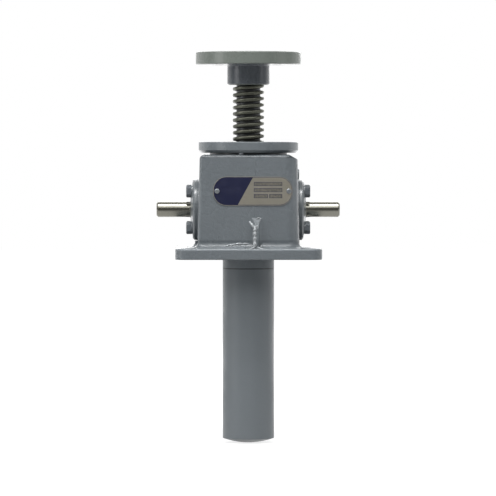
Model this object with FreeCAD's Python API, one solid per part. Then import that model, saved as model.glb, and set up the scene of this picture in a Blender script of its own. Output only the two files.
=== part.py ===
# Worm screw jack with a translating lifting screw. All lengths are millimetres.
# The origin is on the screw axis, in the plane of the base flange's underside.
# +Z is up, the worm shaft runs along X behind the screw, and the front faces -Y.
import FreeCAD
import Part
import math
import os

V = FreeCAD.Vector
origin = V(0, 0, 0)
x_axis = V(1, 0, 0)
y_axis = V(0, 1, 0)
z_axis = V(0, 0, 1)

# Fits, as radial clearances or flat gaps
seat_gap = 0.02
running_gap = 0.08
thread_gap = 0.05
loose_gap = 2.0

# How far a cutter runs past the face it starts from
overrun = 1.0

# Lifting screw
screw_d = 31.75
screw_length = 302.0
screw_raised = 57.6
screw_spigot_d = 25.4
screw_tail_d = 24.0
screw_end_chamfer = 1.5

# Top plate and its hub
plate_d = 106.7
plate_thick = 12.7
plate_edge_r = 1.0
hub_d = 42.8
hub_length = 20.8
hub_chamfer = 1.2
hub_fillet_r = 2.0
plate_bolt_circle_d = 82.5
plate_bolt_d = 10.3
plate_bolt_count = 4
spigot_recess = 3.0

# Set screw that locks the hub to the spigot
plate_screw_d = 6.35
plate_screw_drop = 10.0
plate_screw_recess = 1.0
plate_screw_socket = 3.0

# Stop disc on the tail of the screw
stop_gap = 0.8
stop_thick = 9.0
stop_pin_d = 5.0
stop_pin_recess = 1.0

# Worm gear set; the dedendum is in modules
tooth_count = 24
gear_module = 2.5
dedendum = 1.2
pressure_angle = math.radians(20.0)
flank_gap = 0.25
gear_face = 20.0
worm_pitch_d = 28.0
worm_turns = 6
worm_z = 49.3

# Share of a turn that puts a gap of the worm's thread over a tooth at rest
worm_phase = 0.25

# How deep a tooth or thread is sunk into its blank
root_overlap = 0.5

# Bearings of the gear, in a bore that lets the gear through, and clear of the worm
gear_bore_gap = 2.5
gear_bearing_section = 12.5
gear_bearing_width = 13.0
worm_side_gap = 0.6
gear_shoulder = 3.5
gear_hub_end_gap = 0.5

# Worm shaft and its bearings
shaft_d = 15.875
shaft_reach = 34.9
shaft_chamfer = 1.4
shaft_land = 0.8
bearing_seat_d = 17.0
worm_bore_gap = 1.0
worm_bearing_width = 11.6

# Taper of every roller bearing's raceway
race_taper = math.radians(12.0)
race_inset = 1.5

# Shaft seals
seal_section = 4.5
seal_width = 5.8
seal_back_gap = 0.2
seal_wall = 2.0
seal_web = 3.0
seal_lip = 1.0

# Covers over the worm bearings
boss_proud = 0.8
cover_rim = 8.725
shim_thick = 0.4
cover_hub_thick = 6.4
cover_rim_thick = 4.0
cover_hub_flat_d = 39.0
cover_edge_r = 1.6
cover_spigot = 2.0
cover_bore_gap = 0.4
spot_face_thick = 4.1

# Bolts and washers of the covers
bolt_d = 6.35
bolt_wall = 2.1
bolt_angle = math.radians(55.2)
bolt_flats = 11.1
bolt_head = 5.2
bolt_grip = 19.0
bolt_hole_end = 2.0
washer_d = 12.4
washer_thick = 1.6
washer_bore_gap = 0.2
washer_spot_gap = 0.6

# Gear casing, as wide as stated at the flange's underside and drafted up from there
casing_half_width = 51.3
casing_draft = math.radians(1.1)
casing_wall = 15.0
casing_top = 105.6
casing_left_r = 3.0
casing_right_r = 13.0
casing_back_r = 8.0
casing_shoulder = 8.5
casing_shoulder_drop = 4.8
casing_crown_r = 4.8
casing_brow_r = 3.5
casing_fillet_r = 6.5

# Foot that carries the worm boss
foot_ledge = 2.2
foot_gap = 0.6
foot_fillet_r = 4.5

# Base flange, by how far it stands out from the casing and the foot
flange_side = 22.7
flange_front = 9.0
flange_back = 8.8
flange_thick = 11.4
flange_corner_r = 12.0
flange_edge_r = 2.2
flange_under_r = 1.0
base_hole_d = 11.1
base_hole_inset = 11.6
base_spot_d = 20.0

# Front rib between the casing and the flange
rib_x = 8.2
rib_thick = 3.6
rib_fillet_r = 4.8
rib_rise = 30.7
rib_knee_rise = 20.0

# Threaded shell cap that closes the gear bore and preloads the bearings
cap_d = 100.9
cap_thick = 11.2
cap_gap = 1.8
cap_neck_lip = 4.25
cap_chamfer = 2.7
cap_edge_r = 1.0
cap_relief = 10.0

# Set screws that lock the cap
cap_screw_d = 4.8
cap_screw_x = -7.5
cap_screw_recess = 0.6
cap_screw_socket = 2.0

# Guide bushings and wiper
bushing_wall = 4.0
wiper_section = 8.0
wiper_thick = 7.0
wiper_recess = 0.5
wiper_lip = 0.8
wiper_lip_rise = 1.5
wiper_lip_depth = 2.5
wiper_relief = 1.5

# Adapter, protective tube and end cap below the flange
tube_d = 52.2
tube_wall = 3.1
tube_length = 172.4
adapter_collar = 9.9
adapter_recess = 1.5
adapter_recess_gap = 0.3
adapter_wall = 3.0
adapter_depth = 16.0
adapter_spigot = 4.0
end_dome = 4.6
end_spigot = 3.0

# Nameplate with its two drive screws
nameplate_width = 79.6
nameplate_height = 29.0
nameplate_thick = 0.6
nameplate_r = 13.2
nameplate_inset = 7.3
nameplate_drop = 36.6
rivet_inset = 3.8
rivet_d = 5.2
rivet_head = 1.3
rivet_round = 1.0
rivet_shank_d = 2.6
rivet_depth = 5.0
rivet_end_gap = 0.5

# Grease plug in the right wall
plug_d = 11.0
plug_drop = 20.0
plug_proud = 1.9
plug_chamfer = 0.6
plug_socket = 4.8
plug_end_gap = 1.0

# Gear set, worked out from the tooth size
gear_pitch_r = tooth_count * gear_module / 2
gear_tip_r = gear_pitch_r + gear_module
gear_root_r = gear_pitch_r - dedendum * gear_module
worm_pitch_r = worm_pitch_d / 2
worm_tip_r = worm_pitch_r + gear_module
worm_root_r = worm_pitch_r - dedendum * gear_module
worm_pitch = math.pi * gear_module
worm_y = gear_pitch_r + worm_pitch_r
tooth_thick = worm_pitch / 2 - flank_gap
gear_low_z = worm_z - gear_face / 2
gear_high_z = worm_z + gear_face / 2
worm_place = FreeCAD.Placement(V(0, worm_y, worm_z), FreeCAD.Rotation(y_axis, 90))

# Gear bearings, which start where the worm has curved away from them
gear_bearing_r = gear_tip_r + gear_bore_gap
gear_hub_r = gear_bearing_r - gear_bearing_section
gear_shoulder_r = gear_hub_r + gear_shoulder
bearing_offset = math.sqrt(worm_tip_r ** 2 - (worm_y - gear_bearing_r - worm_side_gap) ** 2)
bearing_low_z = worm_z - bearing_offset
bearing_high_z = worm_z + bearing_offset
gear_seat_z = bearing_low_z - gear_bearing_width
cap_seat_z = bearing_high_z + gear_bearing_width

# Screw and the bores round it
screw_r = screw_d / 2
bore_r = screw_r + running_gap
bushing_r = bore_r + bushing_wall
clear_r = screw_r + loose_gap
wiper_r = bore_r + wiper_section

# Heights above the casing
cap_low_z = casing_top + cap_gap
cap_top_z = cap_low_z + cap_thick
cap_neck_r = gear_bearing_r + cap_neck_lip
cap_screw_circle_r = (cap_neck_r + cap_d / 2) / 2
screw_shoulder_z = cap_top_z + screw_raised
screw_bottom_z = screw_shoulder_z - screw_length
plate_low_z = screw_shoulder_z + hub_length
plate_top_z = plate_low_z + plate_thick

# Places along the worm shaft
boss_half_length = casing_half_width + boss_proud
cover_seat_x = boss_half_length + shim_thick
cover_hub_x = cover_seat_x + cover_hub_thick
spot_face_x = cover_seat_x + spot_face_thick
seal_in_x = boss_half_length - cover_spigot
bearing_in_x = seal_in_x - worm_bearing_width
shaft_tip_x = cover_hub_x + shaft_reach

# Radii about the worm shaft
worm_bearing_r = worm_tip_r + worm_bore_gap
seal_r = bearing_seat_d / 2 + seal_section
cover_bore_r = bearing_seat_d / 2 + cover_bore_gap
bolt_hole_r = bolt_d / 2 + thread_gap
bolt_circle_r = worm_bearing_r + bolt_wall + bolt_d / 2
bolt_rise = bolt_circle_r * math.sin(bolt_angle)
bolt_spread = bolt_circle_r * math.cos(bolt_angle)
bolt_spots = [(a * bolt_rise, b * bolt_spread) for a in (-1, 1) for b in (-1, 1)]
cover_r = bolt_circle_r + cover_rim

# Faces of the casing, the foot and the flange
casing_depth = gear_bearing_r + casing_wall
foot_left_x = boss_half_length + foot_ledge
flange_x = casing_half_width + flange_side
flange_front_y = casing_depth + flange_front
flange_back_y = worm_y + cover_r + flange_back
nameplate_x = casing_half_width - nameplate_inset - nameplate_width / 2
nameplate_z = casing_top - nameplate_drop
plug_z = casing_top - plug_drop

# Protective tube and what fits in it
tube_r = tube_d / 2
tube_bore_r = tube_r - tube_wall
tube_fit_r = tube_bore_r - seat_gap
tube_bottom_z = -adapter_collar - tube_length
adapter_thread_r = bushing_r + adapter_wall
stop_r = tube_bore_r - stop_gap


def polygon(points):
    return Part.Face(Part.makePolygon(points + [points[0]]))


def turned(profile):
    """Turn a closed profile of (radius, height) pairs about Z."""
    face = polygon([V(r, 0, z) for r, z in profile])
    return face.revolve(origin, z_axis, 360)


def rod(radius, low, high, x=0.0, y=0.0):
    return Part.makeCylinder(radius, high - low, V(x, y, low))


def ring(outer, inner, low, high):
    return rod(outer, low, high).cut(rod(inner, low, high))


def hexagon(flats, low, high, x=0.0, y=0.0):
    corner = flats / math.sqrt(3)
    turns = [math.radians(60 * k) for k in range(6)]
    points = [V(x + corner * math.cos(t), y + corner * math.sin(t), low) for t in turns]
    return polygon(points).extrude(z_axis * (high - low))


def joined(shapes):
    return shapes[0].fuse(shapes[1:]).removeSplitter()


def on_worm_axis(shape):
    """Lay a shape made about Z along the worm shaft, with its +Z end to the right."""
    shape.Placement = worm_place.multiply(shape.Placement)
    return shape


def mirrored(shape):
    return shape.mirror(origin, x_axis)


def rounded_plan(x0, x1, y0, y1, radii):
    """Outline with corner radii given from (x0, y0) round to (x0, y1)."""
    corners = [(x0, y0), (x1, y0), (x1, y1), (x0, y1)]
    inward = [(1, 1), (-1, 1), (-1, -1), (1, -1)]
    ends = []
    edges = []
    for k, ((cx, cy), (sx, sy), r) in enumerate(zip(corners, inward, radii)):
        along_y = V(cx, cy + sy * r, 0)
        along_x = V(cx + sx * r, cy, 0)
        slant = r * (1 - math.sqrt(0.5))
        middle = V(cx + sx * slant, cy + sy * slant, 0)
        first, last = (along_y, along_x) if k % 2 == 0 else (along_x, along_y)
        edges.append(Part.Arc(first, middle, last).toShape())
        ends.append((first, last))
    sides = [Part.makeLine(ends[k][1], ends[(k + 1) % 4][0]) for k in range(4)]
    loop = [edge for pair in zip(edges, sides) for edge in pair]
    return Part.Wire(loop)


def half_width(z):
    """Half the casing's width at a height."""
    return casing_half_width - z * math.tan(casing_draft)


def casing_block(grow=0.0):
    """Casing with drafted sides and rounded corners, before its top is shaped."""
    low = half_width(0) + grow
    high = half_width(casing_top) + grow
    deep = casing_depth + grow
    front = polygon([V(-low, -deep, 0), V(low, -deep, 0), V(high, -deep, casing_top),
                     V(-high, -deep, casing_top)])
    block = front.extrude(y_axis * 2 * deep)
    corners = [(-1, -1, casing_left_r), (1, -1, casing_right_r), (1, 1, casing_back_r), (-1, 1, casing_back_r)]
    for x_side, y_side, radius in corners:
        corner = [e for e in block.Edges if e.BoundBox.ZLength > casing_top / 2
                  and e.CenterOfMass.x * x_side > 0 and e.CenterOfMass.y * y_side > 0]
        block = block.makeFillet(radius + grow, corner)
    return block


def top_round(wall, inward, radius):
    """Quarter round in the XZ plane, from a wall up to the casing's top."""
    slant = radius * (1 - math.sqrt(0.5))
    return [V(wall, 0, casing_top - radius), V(wall + inward * slant, 0, casing_top - slant),
            V(wall + inward * radius, 0, casing_top)]


def casing_elevation():
    """Front outline with a rounded left crown and a sloping right shoulder, clear of the walls below."""
    high = half_width(casing_top)
    low = casing_half_width + overrun
    shoulder_z = casing_top - casing_shoulder_drop
    crown = top_round(-high, 1, casing_crown_r)
    crown[0].x = -half_width(casing_top - casing_crown_r)
    rest = [crown[2], V(high - casing_shoulder, 0, casing_top), V(half_width(shoulder_z), 0, shoulder_z),
            V(low, 0, -overrun), V(-low, 0, -overrun), crown[0]]
    edges = [Part.Arc(*crown).toShape()] + [Part.makeLine(a, b) for a, b in zip(rest, rest[1:])]
    return Part.Face(Part.Wire(edges))


def casing_side_outline():
    """Side outline with rounded top edges at the front and back, clear of the walls below."""
    low = casing_depth + overrun
    front = top_round(-casing_depth, 1, casing_brow_r)
    back = top_round(casing_depth, -1, casing_brow_r)
    rest = [back[0], V(low, 0, -overrun), V(-low, 0, -overrun), front[0]]
    edges = [Part.Arc(*front).toShape(), Part.makeLine(front[2], back[2]), Part.Arc(*reversed(back)).toShape()]
    edges += [Part.makeLine(a, b) for a, b in zip(rest, rest[1:])]
    outline = Part.Face(Part.Wire(edges))
    outline.rotate(origin, z_axis, 90)
    return outline


def flange():
    plan = rounded_plan(-flange_x, flange_x, -flange_front_y, flange_back_y, [flange_corner_r] * 4)
    slab = Part.Face(plan).extrude(z_axis * flange_thick)
    slab = slab.makeFillet(flange_edge_r, level_edges(slab, flange_thick))
    return slab.makeFillet(flange_under_r, level_edges(slab, 0))


def within(inner, outer):
    """Tell whether one bounding box lies in another, seen from above."""
    slack = 0.01
    return (inner.XMin > outer.XMin - slack and inner.XMax < outer.XMax + slack
            and inner.YMin > outer.YMin - slack and inner.YMax < outer.YMax + slack)


def level_edges(shape, z):
    slack = 0.01
    return [e for e in shape.Edges
            if abs(e.BoundBox.ZMin - z) < slack and abs(e.BoundBox.ZMax - z) < slack]


def blended_to_flange(block, radius):
    """Fuse a block to the flange and fillet the line where they meet."""
    whole = joined([flange(), block])
    line = [e for e in level_edges(whole, flange_thick) if within(e.BoundBox, block.BoundBox)]
    return whole.makeFillet(radius, line)


def casing():
    front = casing_elevation()
    front.translate(y_axis * -(casing_depth + overrun))
    side = casing_side_outline()
    side.translate(x_axis * -(casing_half_width + overrun))
    block = casing_block().common(front.extrude(y_axis * 2 * (casing_depth + overrun)))
    return block.common(side.extrude(x_axis * 2 * (casing_half_width + overrun)))


def worm_boss():
    return on_worm_axis(rod(cover_r, -boss_half_length, boss_half_length))


def foot():
    """Block that carries the worm boss down to the flange."""
    front = worm_y - cover_r
    upper = Part.makeBox(2 * boss_half_length, 2 * cover_r, worm_z, V(-boss_half_length, front, 0))
    ledge = Part.makeBox(foot_left_x, 2 * cover_r, worm_z - cover_r - foot_gap, V(-foot_left_x, front, 0))
    return joined([upper, ledge])


def front_rib():
    """Thin rib whose side fillets fan out where it runs into the casing."""
    half = rib_thick / 2
    wide = half + rib_fillet_r
    bulge = rib_fillet_r * (1 - math.sqrt(0.5))
    wall_y = -casing_depth
    knee_y = wall_y - rib_fillet_r
    tip_y = flange_edge_r - flange_front_y
    left = [V(rib_x - wide, wall_y, 0), V(rib_x - half - bulge, wall_y - bulge, 0),
            V(rib_x - half, knee_y, 0)]
    right = [V(2 * rib_x - p.x, p.y, 0) for p in reversed(left)]
    path = [left[2], V(rib_x - half, tip_y, 0), V(rib_x + half, tip_y, 0), right[0]]
    edges = [Part.Arc(*left).toShape()] + [Part.makeLine(a, b) for a, b in zip(path, path[1:])]
    edges += [Part.Arc(*right).toShape(), Part.makeLine(right[2], left[0])]
    section = Part.Face(Part.Wire(edges)).extrude(z_axis * (flange_thick + rib_rise))
    side_x = rib_x - wide - overrun
    slope = polygon([V(side_x, wall_y, 0), V(side_x, tip_y, 0), V(side_x, tip_y, flange_thick),
                     V(side_x, knee_y, flange_thick + rib_knee_rise),
                     V(side_x, wall_y, flange_thick + rib_rise)])
    return section.common(slope.extrude(x_axis * 2 * (wide + overrun)))


def base_hole_spots():
    x = flange_x - base_hole_inset
    y = flange_front_y - base_hole_inset
    return [(sx * x, sy * y) for sx in (-1, 1) for sy in (-1, 1)]


def screw_axis_bores():
    """Bores for the gear bearings, the cap, the screw and the tube adapter."""
    return [rod(gear_bearing_r, gear_seat_z, cap_seat_z),
            rod(cap_neck_r + thread_gap, cap_seat_z - overrun, casing_top + overrun),
            rod(clear_r, -overrun, gear_seat_z + overrun),
            rod(adapter_thread_r + thread_gap, -overrun, adapter_depth + seat_gap),
            rod(tube_r + adapter_recess_gap, -overrun, adapter_recess)]


def worm_axis_bores():
    """Bearing bore through the boss, and the threaded holes for the cover bolts."""
    bores = [on_worm_axis(rod(worm_bearing_r, -boss_half_length - overrun, boss_half_length + overrun))]
    hole_in_x = boss_half_length - bolt_grip - bolt_hole_end
    for a, b in bolt_spots:
        hole = on_worm_axis(rod(bolt_hole_r, hole_in_x, boss_half_length + overrun, a, b))
        bores += [hole, mirrored(hole)]
    return bores


def base_holes():
    holes = []
    for x, y in base_hole_spots():
        holes.append(rod(base_hole_d / 2, -overrun, flange_thick + overrun, x, y))
        holes.append(rod(base_spot_d / 2, flange_thick, flange_thick + casing_fillet_r, x, y))
    return holes


def plug_hole():
    start = cap_neck_r - overrun
    length = half_width(plug_z) + overrun - start
    return Part.makeCylinder(plug_d / 2 + thread_gap, length, V(start, 0, plug_z), x_axis)


def housing():
    shell = joined([blended_to_flange(casing(), casing_fillet_r), blended_to_flange(foot(), foot_fillet_r),
                    worm_boss(), front_rib()])
    cuts = screw_axis_bores() + worm_axis_bores() + base_holes() + [plug_hole()]
    return shell.cut(cuts + [rivet_hole(x) for x in rivet_spots()])


def front_spot(x):
    """Point on the casing's front face at x, and the outward direction there."""
    bend_x = half_width(nameplate_z) - casing_right_r
    if x <= bend_x:
        return V(x, -casing_depth, nameplate_z), V(0, -1, 0)
    lean = math.asin((x - bend_x) / casing_right_r)
    out = V(math.sin(lean), -math.cos(lean), 0)
    return V(bend_x, casing_right_r - casing_depth, nameplate_z) + out * casing_right_r, out


def rivet_spots():
    half = nameplate_width / 2 - rivet_inset
    return [nameplate_x - half, nameplate_x + half]


def rivet_hole(x):
    spot, out = front_spot(x)
    length = rivet_depth + nameplate_thick + overrun
    return Part.makeCylinder(rivet_shank_d / 2, length, spot - out * rivet_depth, out)


def nameplate():
    """Thin plate that follows the front of the casing round its right edge."""
    half_w = nameplate_width / 2
    half_h = nameplate_height / 2
    skin = casing_block(nameplate_thick).cut(casing_block())
    outline = rounded_plan(nameplate_x - half_w, nameplate_x + half_w, -half_h, half_h, [nameplate_r] * 4)
    blank = Part.Face(outline).extrude(z_axis * casing_depth)
    blank.rotate(origin, x_axis, 90)
    blank.translate(V(0, -casing_depth / 2, nameplate_z))
    return skin.common(blank).cut([rivet_hole(x) for x in rivet_spots()])


def rivet(x):
    dome = rod(rivet_d / 2, 0, rivet_head)
    dome = dome.makeFillet(rivet_round, level_edges(dome, rivet_head))
    shank = rod(rivet_shank_d / 2 - seat_gap, rivet_end_gap - rivet_depth - nameplate_thick, 0)
    nail = joined([dome, shank])
    spot, out = front_spot(x)
    nail.Placement = FreeCAD.Placement(spot + out * nameplate_thick, FreeCAD.Rotation(z_axis, out))
    return nail


def nameplate_rivets():
    return Part.makeCompound([rivet(x) for x in rivet_spots()])


def grease_plug():
    inner = cap_neck_r + plug_end_gap
    length = half_width(plug_z) + plug_proud - inner
    plug = rod(plug_d / 2, 0, length)
    plug = plug.makeChamfer(plug_chamfer, level_edges(plug, length))
    plug = plug.cut(hexagon(plug_socket, length - plug_socket, length + overrun))
    plug.Placement = FreeCAD.Placement(V(inner, 0, plug_z), FreeCAD.Rotation(y_axis, 90))
    return plug


def shell_cap():
    rim = cap_d / 2
    inner = gear_hub_r + loose_gap
    bushing_bore = bushing_r + seat_gap
    body = turned([(inner, cap_seat_z), (cap_neck_r, cap_seat_z), (cap_neck_r, cap_low_z),
                   (rim - cap_chamfer, cap_low_z), (rim, cap_low_z + cap_chamfer), (rim, cap_top_z),
                   (wiper_r, cap_top_z), (wiper_r, cap_top_z - wiper_thick),
                   (bushing_bore, cap_top_z - wiper_thick),
                   (bushing_bore, cap_seat_z + cap_relief), (inner, cap_seat_z + cap_relief)])
    edge = [e for e in level_edges(body, cap_top_z) if e.BoundBox.XMax > wiper_r + cap_chamfer]
    body = body.makeFillet(cap_edge_r, edge)
    return body.cut([rod(cap_screw_d / 2 + thread_gap, cap_low_z - overrun, cap_top_z + overrun, x, y)
                     for x, y in cap_screw_spots()])


def cap_screw_spots():
    y = math.sqrt(cap_screw_circle_r ** 2 - cap_screw_x ** 2)
    return [(cap_screw_x, -y), (-cap_screw_x, y)]


def cap_set_screws():
    """Two set screws that lock the cap against the top of the casing."""
    top = cap_top_z - cap_screw_recess
    screws = []
    for x, y in cap_screw_spots():
        socket = hexagon(cap_screw_d / 2, top - cap_screw_socket, top + overrun, x, y)
        screws.append(rod(cap_screw_d / 2, casing_top, top, x, y).cut(socket))
    return Part.makeCompound(screws)


def upper_guide_bushing():
    return ring(bushing_r, bore_r, cap_seat_z + cap_relief, cap_top_z - wiper_thick)


def screw_wiper():
    """Wiper ring whose lip leans up against the screw."""
    low = cap_top_z - wiper_thick
    high = cap_top_z - wiper_recess
    shelf = high - wiper_lip_rise
    outer = wiper_r - seat_gap
    root = bore_r + wiper_relief
    return turned([(root, low), (outer, low), (outer, shelf), (root + wiper_lip, shelf),
                   (bore_r + wiper_lip, high), (bore_r, high), (bore_r, high - wiper_lip_depth),
                   (root, high - wiper_lip_depth - wiper_relief)])


def tube_adapter():
    spigot_z = -adapter_collar - adapter_spigot
    bore = bushing_r + seat_gap
    return turned([(clear_r, spigot_z), (tube_fit_r, spigot_z), (tube_fit_r, -adapter_collar),
                   (tube_r, -adapter_collar), (tube_r, adapter_recess), (adapter_thread_r, adapter_recess),
                   (adapter_thread_r, adapter_depth), (bore, adapter_depth), (bore, -adapter_collar),
                   (clear_r, -adapter_collar)])


def lower_guide_bushing():
    return ring(bushing_r, bore_r, -adapter_collar, adapter_depth)


def protective_tube():
    return ring(tube_r, tube_bore_r, tube_bottom_z, -adapter_collar)


def tube_end_cap():
    """Shallow domed cap with a short spigot inside the tube."""
    low = tube_bottom_z - end_dome
    ball_r = (tube_r ** 2 + end_dome ** 2) / (2 * end_dome)
    middle = V(tube_r / 2, 0, low + ball_r - math.sqrt(ball_r ** 2 - tube_r ** 2 / 4))
    dome = Part.Arc(V(0, 0, low), middle, V(tube_r, 0, tube_bottom_z))
    path = [V(tube_r, 0, tube_bottom_z), V(tube_fit_r, 0, tube_bottom_z),
            V(tube_fit_r, 0, tube_bottom_z + end_spigot), V(0, 0, tube_bottom_z + end_spigot), V(0, 0, low)]
    edges = [dome.toShape()] + [Part.makeLine(a, b) for a, b in zip(path, path[1:])]
    return Part.Face(Part.Wire(edges)).revolve(origin, z_axis, 360)


def race_radii(outer_r, width):
    """Radii of the cup's raceway at its wide and its narrow end."""
    wide = outer_r - race_inset
    return wide, wide - width * math.tan(race_taper)


def bearing_cone(inner_r, outer_r, low, high):
    """Inner ring with its roller band as one turned solid, narrow end up."""
    wide, narrow = race_radii(outer_r, high - low)
    edge = race_inset
    return turned([(inner_r, low), (wide - 2 * edge, low), (wide - edge, low + edge),
                   (narrow - edge + running_gap, high - edge), (narrow - 2 * edge, high), (inner_r, high)])


def bearing_cup(outer_r, low, high):
    wide, narrow = race_radii(outer_r, high - low)
    return turned([(wide, low), (outer_r, low), (outer_r, high), (narrow, high)])


def gear_cone(low, high):
    return bearing_cone(gear_hub_r, gear_bearing_r - running_gap, low, high)


def gear_cup(low, high):
    return bearing_cup(gear_bearing_r - seat_gap, low, high)


def worm_cone(low, high):
    return bearing_cone(bearing_seat_d / 2, worm_bearing_r - running_gap, low, high)


def worm_cup(low, high):
    return bearing_cup(worm_bearing_r - seat_gap, low, high)


def flipped(shape, middle):
    """Turn a bearing part end for end about the height of its middle."""
    return shape.mirror(V(0, 0, middle), z_axis)


def gear_bearing(make):
    """The lower bearing part from its maker, and the same part turned over for the top."""
    lower = flipped(make(gear_seat_z, bearing_low_z), (gear_seat_z + bearing_low_z) / 2)
    return lower, flipped(lower, worm_z)


def worm_bearing(make):
    """The left and right bearing parts on the worm shaft."""
    right_part = on_worm_axis(make(bearing_in_x, seal_in_x))
    return mirrored(right_part), right_part


def inverse_involute(angle):
    return math.tan(angle) - angle


def tooth_half_angle(radius):
    base_r = gear_pitch_r * math.cos(pressure_angle)
    lean = math.acos(min(1.0, base_r / radius))
    return tooth_thick / 2 / gear_pitch_r + inverse_involute(pressure_angle) - inverse_involute(lean)


def tooth_wire(height, turn):
    """Outline of one tooth at a height, turned about the gear's axis."""
    base_r = gear_pitch_r * math.cos(pressure_angle)
    radii = [gear_root_r - root_overlap, base_r, gear_pitch_r, gear_tip_r]

    def spot(radius, side):
        angle = math.pi / 2 + turn + side * tooth_half_angle(radius)
        return V(radius * math.cos(angle), radius * math.sin(angle), height)

    one = [spot(r, -1) for r in radii]
    two = [spot(r, 1) for r in radii]
    edges = [Part.makeLine(one[0], one[1]), Part.Arc(*one[1:]).toShape(), Part.makeLine(one[3], two[3]),
             Part.Arc(two[3], two[2], two[1]).toShape(), Part.makeLine(two[1], two[0]),
             Part.makeLine(two[0], one[0])]
    return Part.Wire(edges)


def worm_gear():
    """Bronze worm gear whose bore is the nut of the lifting screw."""
    twist = gear_face / 2 * (worm_pitch / (2 * math.pi * worm_pitch_r)) / gear_pitch_r
    tooth = Part.makeLoft([tooth_wire(gear_low_z, -twist), tooth_wire(gear_high_z, twist)], True, True)
    teeth = []
    for k in range(tooth_count):
        copy = tooth.copy()
        copy.rotate(origin, z_axis, 360.0 * k / tooth_count)
        teeth.append(copy)
    low = gear_seat_z + gear_hub_end_gap
    high = cap_seat_z - gear_hub_end_gap
    blank = turned([(bore_r, low), (gear_hub_r, low), (gear_hub_r, bearing_low_z),
                    (gear_shoulder_r, bearing_low_z), (gear_shoulder_r, gear_low_z),
                    (gear_root_r, gear_low_z), (gear_root_r, gear_high_z),
                    (gear_shoulder_r, gear_high_z), (gear_shoulder_r, bearing_high_z),
                    (gear_hub_r, bearing_high_z), (gear_hub_r, high), (bore_r, high)])
    return blank.fuse(teeth)


def helix(radius, start):
    curve = Part.makeHelix(worm_pitch, worm_turns * worm_pitch, radius)
    curve.translate(z_axis * start)
    return curve


def worm_thread():
    """Right-hand thread along Z, centred on the gear, with straight 20 degree flanks."""
    inner_r = worm_root_r - root_overlap
    half_in = tooth_thick / 2 + (worm_pitch_r - inner_r) * math.tan(pressure_angle)
    half_tip = tooth_thick / 2 - gear_module * math.tan(pressure_angle)
    first = -worm_pitch * (worm_turns // 2 + worm_phase)
    rails = [helix(inner_r, first - half_in), helix(worm_tip_r, first - half_tip),
             helix(worm_tip_r, first + half_tip), helix(inner_r, first + half_in)]
    faces = [Part.makeRuledSurface(a, b) for a, b in zip(rails, rails[1:] + rails[:1])]
    faces += [polygon([rail.Vertexes[k].Point for rail in rails]) for k in (0, -1)]
    shell = Part.makeShell([f for face in faces for f in face.Faces])
    shell.sewShape()
    return Part.makeSolid(Part.Shell(shell.Faces))


def shaft_half():
    """Radius and distance from the middle, from the worm's root to the shaft's tip."""
    tip_r = shaft_d / 2
    seat_r = bearing_seat_d / 2 - seat_gap
    land_x = cover_hub_x + shaft_land
    return [(worm_root_r, bearing_in_x), (seat_r, bearing_in_x), (seat_r, land_x), (tip_r, land_x),
            (tip_r, shaft_tip_x - shaft_chamfer), (tip_r - shaft_chamfer, shaft_tip_x)]


def worm_shaft():
    half = shaft_half()
    profile = half + [(0, shaft_tip_x), (0, -shaft_tip_x)] + [(r, -z) for r, z in reversed(half)]
    return on_worm_axis(turned(profile).fuse(worm_thread()))


def cover_profile():
    rim_x = cover_seat_x + cover_rim_thick
    spigot_r = worm_bearing_r - seat_gap
    return turned([(cover_bore_r, seal_in_x), (spigot_r, seal_in_x), (spigot_r, cover_seat_x),
                   (cover_r, cover_seat_x), (cover_r, rim_x - cover_edge_r), (cover_r - cover_edge_r, rim_x),
                   (cover_hub_flat_d / 2, cover_hub_x), (cover_bore_r, cover_hub_x)])


def bearing_cover():
    out_x = cover_hub_x + overrun
    cuts = [rod(seal_r, seal_in_x - overrun, seal_in_x + seal_width)]
    for a, b in bolt_spots:
        cuts.append(rod(bolt_hole_r, seal_in_x, out_x, a, b))
        cuts.append(rod(washer_d / 2 + washer_spot_gap, spot_face_x, out_x, a, b))
    return on_worm_axis(cover_profile().cut(cuts))


def cover_shim():
    shim = ring(cover_r, worm_bearing_r, boss_half_length, cover_seat_x)
    holes = [rod(bolt_hole_r, boss_half_length, cover_seat_x, a, b) for a, b in bolt_spots]
    return on_worm_axis(shim.cut(holes))


def shaft_seal():
    outer = seal_r - seat_gap
    inner = bearing_seat_d / 2 + running_gap
    low = seal_in_x + seal_back_gap
    high = seal_in_x + seal_width
    web = high - seal_web
    return on_worm_axis(turned([(outer, low), (outer, high), (inner + seal_lip, high),
                                (inner, (web + high) / 2), (inner + seal_lip, web),
                                (outer - seal_wall, web), (outer - seal_wall, low)]))


def cover_bolts():
    under_x = spot_face_x + washer_thick
    top_x = under_x + bolt_head
    bolts = []
    for a, b in bolt_spots:
        head = hexagon(bolt_flats, under_x, top_x, a, b)
        crown = turned([(0, under_x), (bolt_flats, under_x), (bolt_flats, top_x - bolt_flats / 2),
                        (bolt_flats / 2, top_x), (0, top_x)])
        crown.translate(V(a, b, 0))
        shank = rod(bolt_d / 2, boss_half_length - bolt_grip, under_x, a, b)
        bolts.append(joined([head.common(crown), shank]))
    return on_worm_axis(Part.makeCompound(bolts))


def cover_washers():
    rings = []
    for a, b in bolt_spots:
        washer = ring(washer_d / 2, bolt_d / 2 + washer_bore_gap, spot_face_x, spot_face_x + washer_thick)
        washer.translate(V(a, b, 0))
        rings.append(washer)
    return on_worm_axis(Part.makeCompound(rings))


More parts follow.
